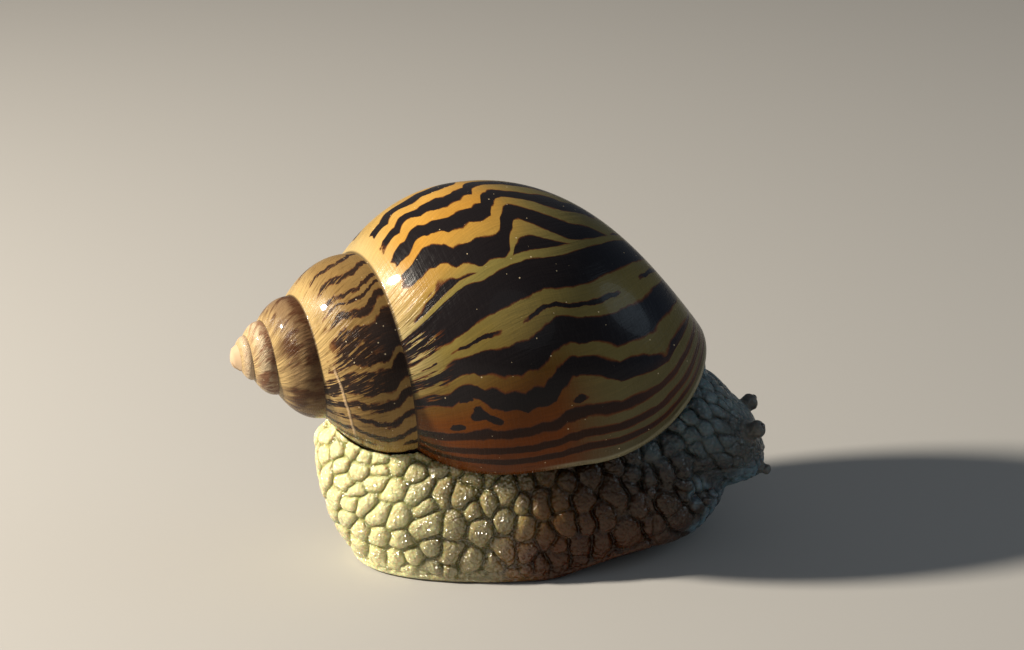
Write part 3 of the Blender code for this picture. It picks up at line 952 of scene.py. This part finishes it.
# Colours as (share of the ramp, red, green, blue).
GROUND_TINTS = (
    (0.0, 0.34, 0.23, 0.075), (0.2, 0.41, 0.26, 0.072), (0.32, 0.48, 0.27, 0.057),
    (0.42, 0.44, 0.225, 0.038), (0.52, 0.36, 0.215, 0.048), (0.58, 0.20, 0.165, 0.048),
    (0.72, 0.17, 0.125, 0.034), (0.79, 0.12, 0.060, 0.012), (0.84, 0.12, 0.036, 0.004),
    (0.93, 0.12, 0.028, 0.002), (1.0, 0.11, 0.028, 0.003),
)
BASE_TINTS = ((0.0, 0.14, 0.115, 0.040), (1.0, 0.075, 0.066, 0.034))
SPIRE_TINTS = (
    (0.0, 0.62, 0.48, 0.32), (0.3, 0.55, 0.44, 0.29), (0.55, 0.23, 0.15, 0.085),
    (0.75, 0.24, 0.155, 0.065), (1.0, 0.24, 0.145, 0.045),
)
STREAK_TINTS = ((0.0, 0.28, 0.12, 0.065), (0.5, 0.10, 0.042, 0.022), (1.0, 0.055, 0.022, 0.010))
EDGE_TINTS = ((0.0, 0.22, 0.105, 0.06), (0.6, 0.13, 0.052, 0.02), (1.0, 0.10, 0.028, 0.008))
CORE_TINTS = ((0.0, 0.13, 0.065, 0.045), (0.7, 0.03, 0.018, 0.013), (1.0, 0.011, 0.009, 0.010))


def spread_bands(start, end, seed, period=0.045):
    """Dark bands of uneven width between two turns, for the whorls that carry no chosen ones."""
    rng = random.Random(seed)
    bands = []
    at = start
    while at < end - period:
        width = period * rng.uniform(0.35, 0.75)
        bands.append((at, at + width))
        at += width + period * rng.uniform(0.25, 0.5)
    return bands


class Horn(Nodes):
    """The shell's material, drawn on its growth coordinates."""

    def __init__(self):
        super().__init__("shell_horn")
        growth = self.fed(self.node("ShaderNodeUVMap", uv_map="growth"))
        self.turn, self.share = self.parts(growth)[:2]
        self.broad = self.grain(14.0, 4.0)
        self.ragged = self.grain(60.0, 16.0, 3.0, 0.6)

    def grain(self, per_turn, per_share, detail=2.0, roughness=0.5, shift=0.0):
        """Noise with so many cells to a turn and to a share."""
        place = self.vector(self.turn * per_turn, self.share * per_share, shift)
        return self.noise(place, 1.0, detail, roughness)

    def band_mask(self, turn, bands, soft):
        """1 inside the dark bands, 0 between them, with soft edges."""
        masks = []
        for first in range(0, len(bands), BANDS_PER_RAMP):
            group = bands[first:first + BANDS_PER_RAMP]
            corners = [(group[0][0] - 2.0 * soft, 0.0)]
            for start, end in group:
                edge = min(soft, (end - start) * 0.45)
                corners += [(start - edge / 2, 0.0), (start + edge / 2, 1.0),
                            (end - edge / 2, 1.0), (end + edge / 2, 0.0)]
            corners.append((group[-1][1] + 2.0 * soft, 0.0))
            masks.append(turn.curve(corners))
        return functools.reduce(Value.most, masks)

    def zigzag(self):
        """How far the bands swing here, and the ragged offset of their edges in turns."""
        corner = abs(self.grain(7.0, 5.5, 0.0) - 0.5)
        swing = self.share.curve(ZIGZAG) + self.broad * 0.7 + corner * -1.6 - 0.2
        uneven = self.grain(45.0, 6.0, 1.0, shift=4.0)
        jitter = self.ragged * 0.005 + uneven * 0.007 - 0.006
        return swing, jitter * self.turn.between(-0.06, 0.0, 1.0, 0.25)

    def last_whorl(self, swing, jitter):
        """Dark bands of the last whorl, faint at the suture and smoky at the base."""
        rest = self.turn
        for _ in range(2):
            rest = self.turn - rest.curve(SWING) * swing
        rest = rest + jitter
        mask = self.band_mask(rest, NEAR_BANDS, 0.0055).least(self.thread(jitter))
        mask = mask.most(self.band_mask(rest, spread_bands(-0.93, -0.41, 3), 0.006))
        mask = mask.most(self.band_mask(rest, (WISP,), 0.003) * self.broad.between(0.42, 0.52))
        mask = mask.most(self.islands(rest))
        crest = (self.ragged * 0.5 + self.share.between(0.02, 0.3)).between(0.3, 0.75)
        crest = crest + self.turn.between(-0.25, -0.19)
        smoky = self.share.between(0.95, 1.35) * self.turn.between(-0.1, -0.05)
        return mask * crest.least(1.0) * (smoky * -0.3 + 1.0)

    def thread(self, jitter):
        """The thin light line that splits the broadest band: near 0 on it, 1 beside it."""
        line = self.turn + self.share.between(0.42, 0.58, 0.2125, 0.2048)
        gap = abs(line + jitter * 0.5)
        return gap.between(0.0022, self.share.between(0.3, 0.6, 0.0048, 0.0068), 0.05, 1.0)

    def islands(self, rest):
        """Small dark spots afloat in the orange zone before the lip."""
        place = self.vector(rest * ISLAND_STRETCH, self.ragged * 0.06 + self.share)
        spots = []
        for turn, share, radius in ISLANDS:
            gap = self.node("ShaderNodeVectorMath", operation="DISTANCE")
            self.fed(gap, place, (turn * ISLAND_STRETCH, share, 0.0))
            spots.append(Value(self, gap.outputs["Value"]).between(radius * 0.75, radius * 1.2, 1.0, 0.0))
        return functools.reduce(Value.most, spots)

    def second_whorl(self, swing, jitter):
        """Dark bands of the whorl before, broken up under its suture."""
        older = swing * -0.012 + jitter * 2.0 + self.turn
        mask = self.band_mask(older, SECOND_BANDS, 0.009)
        mask = mask.most(self.band_mask(older, spread_bands(-1.93, -1.36, 8), 0.012))
        crest = self.ragged * 0.6 + self.share.between(0.0, 0.5) + self.turn.between(-1.2, -1.02)
        return mask * crest.between(0.2, 1.0)

    def bands(self):
        swing, jitter = self.zigzag()
        last = self.last_whorl(swing, jitter) * self.turn.between(SECOND_START, SECOND_START + 0.02)
        fade = self.turn.between(SECOND_START + 0.01, SECOND_START - 0.01, 0.0, 0.92)
        second = self.second_whorl(swing, jitter) * fade
        return last.most(second) * self.turn.between(EARLY_START, EARLY_START + 0.1)

    def ground(self):
        """Colour between the bands: horn yellow, then olive, then orange toward the lip."""
        turn, share = self.turn, self.share
        tint = turn.ramp(-0.5, 0.0, GROUND_TINTS)
        tint = tint.mixed(share.between(0.8, 1.15), turn.ramp(-0.12, 0.0, BASE_TINTS))
        rim = turn.between(-0.0065, -0.0035) * share.between(0.6, 0.9)
        tint = tint.mixed(rim * 0.8, (0.24, 0.22, 0.14))
        pale = share.between(0.0, 0.24, 0.55, 0.0) * turn.between(-0.1, -0.2)
        tint = tint.mixed(pale, (0.52, 0.42, 0.22))
        spire = turn.ramp(-4.4, -0.9, SPIRE_TINTS)
        spire = spire.mixed(share.between(0.0, 0.45, 0.75, 0.0), (0.52, 0.37, 0.16))
        tint = tint.mixed(turn.between(-0.92, -0.97), spire)
        return tint.stained(self.broad.between(0.3, 0.75, 0.0, 0.3), (0.6, 0.55, 0.5))

    def early_whorls(self, tint):
        """Soft brown streaks on the whorls near the apex, dark toward the next suture."""
        turn, share = self.turn, self.share
        streaks = self.grain(30.0, 1.4, 2.0, 0.55).between(0.42, 0.58)
        streaks = streaks * share.between(0.02, 0.35, 0.45, 1.0)
        lines = self.grain(170.0, 2.5, 3.0, 0.7).between(0.35, 0.6, 0.8, 1.0)
        low = share.between(0.5, 0.9, 0.0, 0.7)
        whole = streaks.most(streaks * 0.35 + low).least(1.0) * lines
        whole = whole * turn.between(EARLY_START + 0.1, EARLY_START) * turn.between(-4.3, -2.9, 0.25, 1.0)
        return tint.mixed(whole, turn.ramp(-3.6, -1.9, STREAK_TINTS))

    def scar(self):
        """A healed break that crosses the second whorl below its suture."""
        turn = self.turn
        wobble = self.grain(40.0, 3.0, 3.0, 0.6, 7.0)
        line = (turn + 1.14) * 0.88 + wobble * 0.05 + 0.125
        band = abs(self.share - line).between(0.004, 0.022, 1.0, 0.0)
        return band * turn.between(-1.16, -1.13) * turn.between(-0.965, -0.985)

    def marks(self, tint, scar):
        """Suture line, the healed scar, and grains of dust caught on the horn."""
        tint = tint.mixed(self.share.between(0.004, 0.02, 0.75, 0.0), (0.035, 0.02, 0.012))
        tint = tint.mixed(scar * 0.7, (0.50, 0.36, 0.22))
        grain = self.cells("F1", Vector=self.place, Scale=DUST_SCALE)
        chance = self.parts(Value(self, grain.outputs["Color"]))[0]
        drift = self.noise(self.place, 90.0).between(0.42, 0.62, 0.85, 0.3)
        size = chance.between(drift, 1.0) * 0.13
        speck = self.fed(grain).math("LESS_THAN", size)
        return tint.mixed(speck * 0.75, (0.62, 0.50, 0.32))

    def banded(self, tint, mask):
        """Lay the dark bands over the ground, brown at their frayed edges, with a painted bluish sheen on
        them over the base.
        """
        turn = self.turn
        fray = self.grain(25.0, 9.0, shift=2.0).between(0.3, 0.65, 0.02, 0.5)
        tint = tint.mixed(mask.between(fray, 0.62), turn.ramp(-3.0, 0.0, EDGE_TINTS))
        dark = turn.ramp(-3.0, -0.6, CORE_TINTS).mixed(turn.between(-0.08, -0.04), (0.022, 0.007, 0.003))
        # Bluish tint on the dark bands over the base: a painted reflection of the sky, a sheen.
        dark = dark.mixed(self.share.between(1.0, 1.5, 0.0, 0.6), (0.010, 0.016, 0.028))
        return tint.mixed(mask.between(0.42, 0.85), dark)

    def ridges(self, fine, mask, old, scar):
        """Height of growth lines, spiral lines, bands and scar."""
        turn = self.turn
        pinch = self.share.between(0.04, 0.3, 1.0, 0.12) * abs(turn + 0.2).between(0.03, 0.12, 1.0, 0.25)
        pinch = pinch.most((old * 0.6).most(turn.between(-1.8, EARLY_START, 0.0, 0.5)))
        height = fine * 0.35 + self.grain(5.0, 95.0) * 0.12 + self.grain(130.0, 3.0) * pinch * 2.6
        return height + mask.between(0.42, 0.85) * -0.08 + scar * 0.9


def shell_material():
    horn = Horn()
    turn, share = horn.turn, horn.share
    hair = horn.grain(210.0, 3.5, 3.0, 0.7)
    old = share.between(0.85, 0.4, 0.2, 0.8) * abs(turn + 1.45).between(0.55, 0.48)
    worn = (share.between(0.36, 0.08) * abs(turn + 0.19).between(0.11, 0.05)).most(old)
    mask = horn.bands() * (hair.between(0.5, 0.62) * worn * -0.85 + 1.0)
    shade = hair.between(0.47, 0.36) * worn.most(turn.between(-0.035, -0.012, 0.12, 0.6))
    tint = horn.ground().stained(shade * 0.75, (0.32, 0.25, 0.20))
    tint = horn.early_whorls(horn.banded(tint, mask))
    scar = horn.scar()
    tint = horn.marks(tint, scar)
    tint = tint.mixed(share.between(MOUTH_SHARE, MOUTH_SHARE + 0.01), (0.20, 0.17, 0.15))
    fine = horn.grain(420.0, 5.0, 3.0, 0.65)
    tint = tint.stained(fine.between(0.35, 0.75, 0.0, 0.35), (1.5, 1.4, 1.25))
    polish = horn.grain(60.0, 60.0, 4.0, 0.7).between(0.4, 0.7, 0.2, 0.38)
    height = horn.ridges(fine, mask, old, scar)
    horn.set(horn.shader, Base_Color=tint, Roughness=polish, Normal=horn.bump(height, 0.16 * MM, 0.9),
             Coat_Weight=0.09, Coat_Roughness=0.06, Specular_IOR_Level=0.1, IOR=1.45)
    return horn.material


# ---- skin and eye materials

# Colours from the tail to the head, partly painted light and shade (a sunlit tail, a shaded front);
# factors for its lower edge, painted warm bounced light and shade; and for its grooves, painted shade.
CROWN_TINTS = (
    (0.0, 0.76, 0.71, 0.37), (0.17, 0.77, 0.73, 0.37), (0.22, 0.46, 0.43, 0.20),
    (0.28, 0.28, 0.235, 0.095), (0.36, 0.26, 0.215, 0.085), (0.43, 0.25, 0.19, 0.065),
    (0.49, 0.13, 0.062, 0.016), (0.56, 0.050, 0.018, 0.0035), (0.65, 0.045, 0.017, 0.004),
    (0.80, 0.035, 0.024, 0.017), (0.88, 0.034, 0.032, 0.029), (1.0, 0.060, 0.063, 0.060),
)
LOW_BOUNCE_AND_SHADE = (
    (0.0, 1.0, 1.0, 1.0), (0.12, 0.72, 0.46, 0.27), (0.22, 0.58, 0.38, 0.27),
    (0.40, 0.66, 0.44, 0.34), (0.64, 1.2, 0.90, 0.80), (1.0, 1.3, 1.2, 1.3),
)
GROOVE_SHADE_FACTORS = ((0.0, 0.40, 0.41, 0.24), (0.5, 0.40, 0.39, 0.22), (1.0, 0.32, 0.30, 0.24))
EYE_TINTS = ((0.0, 0.006, 0.006, 0.008), (1.0, 0.022, 0.018, 0.016))


def crown_colour(nodes, x, z, mottle):
    """Crowns of the warts: cream, olive, brown and slate, with painted light and shade: sunlit tail,
    shaded front, warm bounce low down, blue-grey where the sky lights them.
    """
    along = x + mottle * 0.012 - 0.006
    # Tail to head: the skin's own cream, olive and brown, with painted sunlight brightening the tail and
    # painted shade darkening the front.
    tint = along.ramp(-0.030, 0.040, CROWN_TINTS)
    # Lower edge: painted warm bounced light and shade, darker and browner at mid-length, lighter toward
    # the head.
    tint = tint.stained(z.between(0.011, 0.006), x.ramp(-0.004, 0.024, LOW_BOUNCE_AND_SHADE))
    tone = nodes.attribute("tone").between(-1.0, 1.0, 0.0, 0.45)
    tint = tint.stained(tone, (0.62, 0.66, 0.74))
    # Painted blue-grey sky light on the upper side toward the front.
    upper = z.between(0.010, 0.020) * x.between(-0.008, 0.006) * x.between(0.036, 0.028)
    tint = tint.stained(upper, (0.44, 0.60, 0.95))
    patchy = mottle.between(0.35, 0.6, 0.3, 1.0)
    # Painted blue-grey sky light on the neck, in patches.
    neck = z.between(0.011, 0.024) * x.between(0.015, 0.025)
    tint = tint.mixed(neck * patchy, (0.085, 0.125, 0.14))
    # Painted blue sky reflection on the front of the foot, in patches.
    foot = z.between(0.015, 0.011) * along.between(0.0265, 0.0295)
    tint = tint.mixed(foot * patchy, (0.10, 0.17, 0.22))
    return tint.mixed(nodes.attribute("feeler") * 0.7, (0.085, 0.078, 0.068))


def skin_material():
    nodes = Nodes("wet_skin")
    x, _, z = nodes.parts(nodes.place)
    mottle = nodes.noise(nodes.place, 180.0, 3.0, 0.6)
    crown = crown_colour(nodes, x, z, mottle)
    # Grooves and mouth slit: painted shade, a darker copy of the crown colour.
    groove = crown.stained(1.0, x.ramp(-0.020, 0.010, GROOVE_SHADE_FACTORS))
    tint = groove.mixed(nodes.attribute("relief").between(0.12, 0.85), crown)
    fine = nodes.noise(nodes.place, 2600.0, 3.0, 0.6)
    tint = tint.stained(fine.between(0.35, 0.7, 0.0, 0.35), (1.35, 1.3, 1.2))
    pebble = nodes.fed(nodes.cells("SMOOTH_F1", Vector=nodes.place, Scale=2100.0, Smoothness=1.0))
    height = pebble * -0.6 + fine * 0.16 + nodes.noise(nodes.place, 1000.0, 1.0) * 1.3
    film = pebble * -0.5 + nodes.noise(nodes.place, 1300.0, 0.0)
    film = film + nodes.noise(nodes.place, 3000.0, 0.0) * 0.3
    film = film * x.between(0.010, -0.004, 0.35, 1.0)
    nodes.set(nodes.shader, Base_Color=tint, Roughness=mottle.between(0.3, 0.7, 0.22, 0.4),
              Normal=nodes.bump(height, 0.20 * MM), Coat_Normal=nodes.bump(film, 1.1 * MM),
              Coat_Weight=x.between(0.006, -0.003, 0.2, 1.0), Coat_Roughness=0.17, Coat_IOR=1.95,
              Specular_IOR_Level=0.15, Specular_Tint=(1.0, 0.85, 0.7),
              Subsurface_Weight=0.35, Subsurface_Scale=0.0022, IOR=1.42)
    return nodes.material


def eye_material():
    nodes = Nodes("eye_dark")
    cloud = nodes.noise(nodes.place, 2500.0, 3.0)
    tint = cloud.between(0.35, 0.7).ramp(0.0, 1.0, EYE_TINTS)
    nodes.set(nodes.shader, Base_Color=tint, Roughness=cloud.between(0.3, 0.7, 0.05, 0.12),
              Normal=nodes.bump(cloud, 0.01 * MM, 0.3), Coat_Weight=1.0, Coat_Roughness=0.03)
    return nodes.material


# ---- pieces

def dressed(name, mesh, material):
    mesh.shade_smooth()
    mesh.materials.append(material)
    return new_object(name, mesh)


def add_shell():
    bm = ShellBuilder(SHELL_FINENESS, TURNS).finished()
    lip_end = shell_point(0.0, 2.0)
    for reach, rounds in LIP_END_ROUNDING:
        near = [vert for vert in bm.verts if (vert.co - lip_end).length < reach * MM]
        for _ in range(rounds):
            bmesh.ops.smooth_vert(bm, verts=near, factor=0.5,
                                  use_axis_x=True, use_axis_y=True, use_axis_z=True)
    shell = dressed("shell_surface", mesh_from("shell_surface", bm), shell_material())
    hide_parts("shell")
    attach(shell, "root")
    return shell


def add_skin(shell):
    body = skin_base()
    sculpt_skin(body, shell)
    body.data.shade_smooth()
    body.data.materials.clear()
    body.data.materials.append(skin_material())
    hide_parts("mantle_collar", "trunk", "tail", "sole", "foot_front", "neck", "head", "mouth",
                "upper_feeler_right", "upper_feeler_left", "lower_feeler_right", "lower_feeler_left")
    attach(body, "root")


def add_eyes():
    dark = eye_material()
    for label, side in (("right", -1.0), ("left", 1.0)):
        name = "eye_ball_" + label
        ball = dressed(name, mesh_from(name, eye_form(side)), dark)
        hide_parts("eye_" + label)
        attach(ball, "root")


# ---- studio

# Lamps, as (name, place, size, power, tint): a low sun behind the tail, a fill and a bluish sky.
LAMPS = (
    ("key", (-0.56, -0.02, 0.39), 0.07, 10.0, (1.0, 0.91, 0.77)),
    ("fill", (0.10, -0.70, 0.45), 0.6, 0.45, (0.90, 0.95, 1.0)),
    ("sky", (0.55, -0.06, 0.27), 0.3, 0.4, (0.70, 0.87, 1.0)),
)
LAMP_TARGET = Vector((0.0, 0.0, 0.025))
# The photo's camera looks along +Y, tilted down and rolled a little.
CAMERA_PLACE = Vector((2.05, -382.36, 175.11)) * MM
CAMERA_TILT = radians(20.0)
CAMERA_ROLL = radians(4.0)


def add_floor():
    bm = bmesh.new()
    bmesh.ops.create_grid(bm, x_segments=1, y_segments=1, size=3.0)
    paper = Nodes("floor_paper")
    paper.set(paper.shader, Base_Color=(0.40, 0.39, 0.375), Roughness=0.85)
    mesh = mesh_from("floor", bm)
    mesh.materials.append(paper.material)
    new_object("floor", mesh)


def add_lamp(name, place, size, power, tint):
    data = bpy.data.lights.new(name, "AREA")
    data.shape = "DISK"
    data.size = size
    data.energy = power
    data.color = tint
    lamp = new_object(name, data)
    lamp.location = place
    lamp.rotation_euler = (LAMP_TARGET - Vector(place)).to_track_quat("-Z", "Y").to_euler()


def add_lights():
    for lamp in LAMPS:
        add_lamp(*lamp)
    world = bpy.data.worlds.new("studio")
    world.use_nodes = True
    back = world.node_tree.nodes["Background"]
    back.inputs[0].default_value = (0.80, 0.84, 0.90, 1.0)
    back.inputs[1].default_value = 0.13
    bpy.context.scene.world = world


def add_camera():
    data = bpy.data.cameras.new("camera")
    data.lens = 95.66
    data.sensor_width = 36.0
    data.sensor_fit = "HORIZONTAL"
    data.clip_start = 0.01
    data.clip_end = 20.0
    camera = new_object("camera", data)
    turn = Matrix.Rotation(pi / 2.0 - CAMERA_TILT, 4, "X") @ Matrix.Rotation(-CAMERA_ROLL, 4, "Z")
    camera.matrix_world = Matrix.Translation(CAMERA_PLACE) @ turn
    bpy.context.scene.camera = camera


add_skin(add_shell())
add_eyes()
add_floor()
add_lights()
add_camera()
scene = bpy.context.scene
scene.cycles.use_denoising = True
scene.view_settings.view_transform = "Standard"
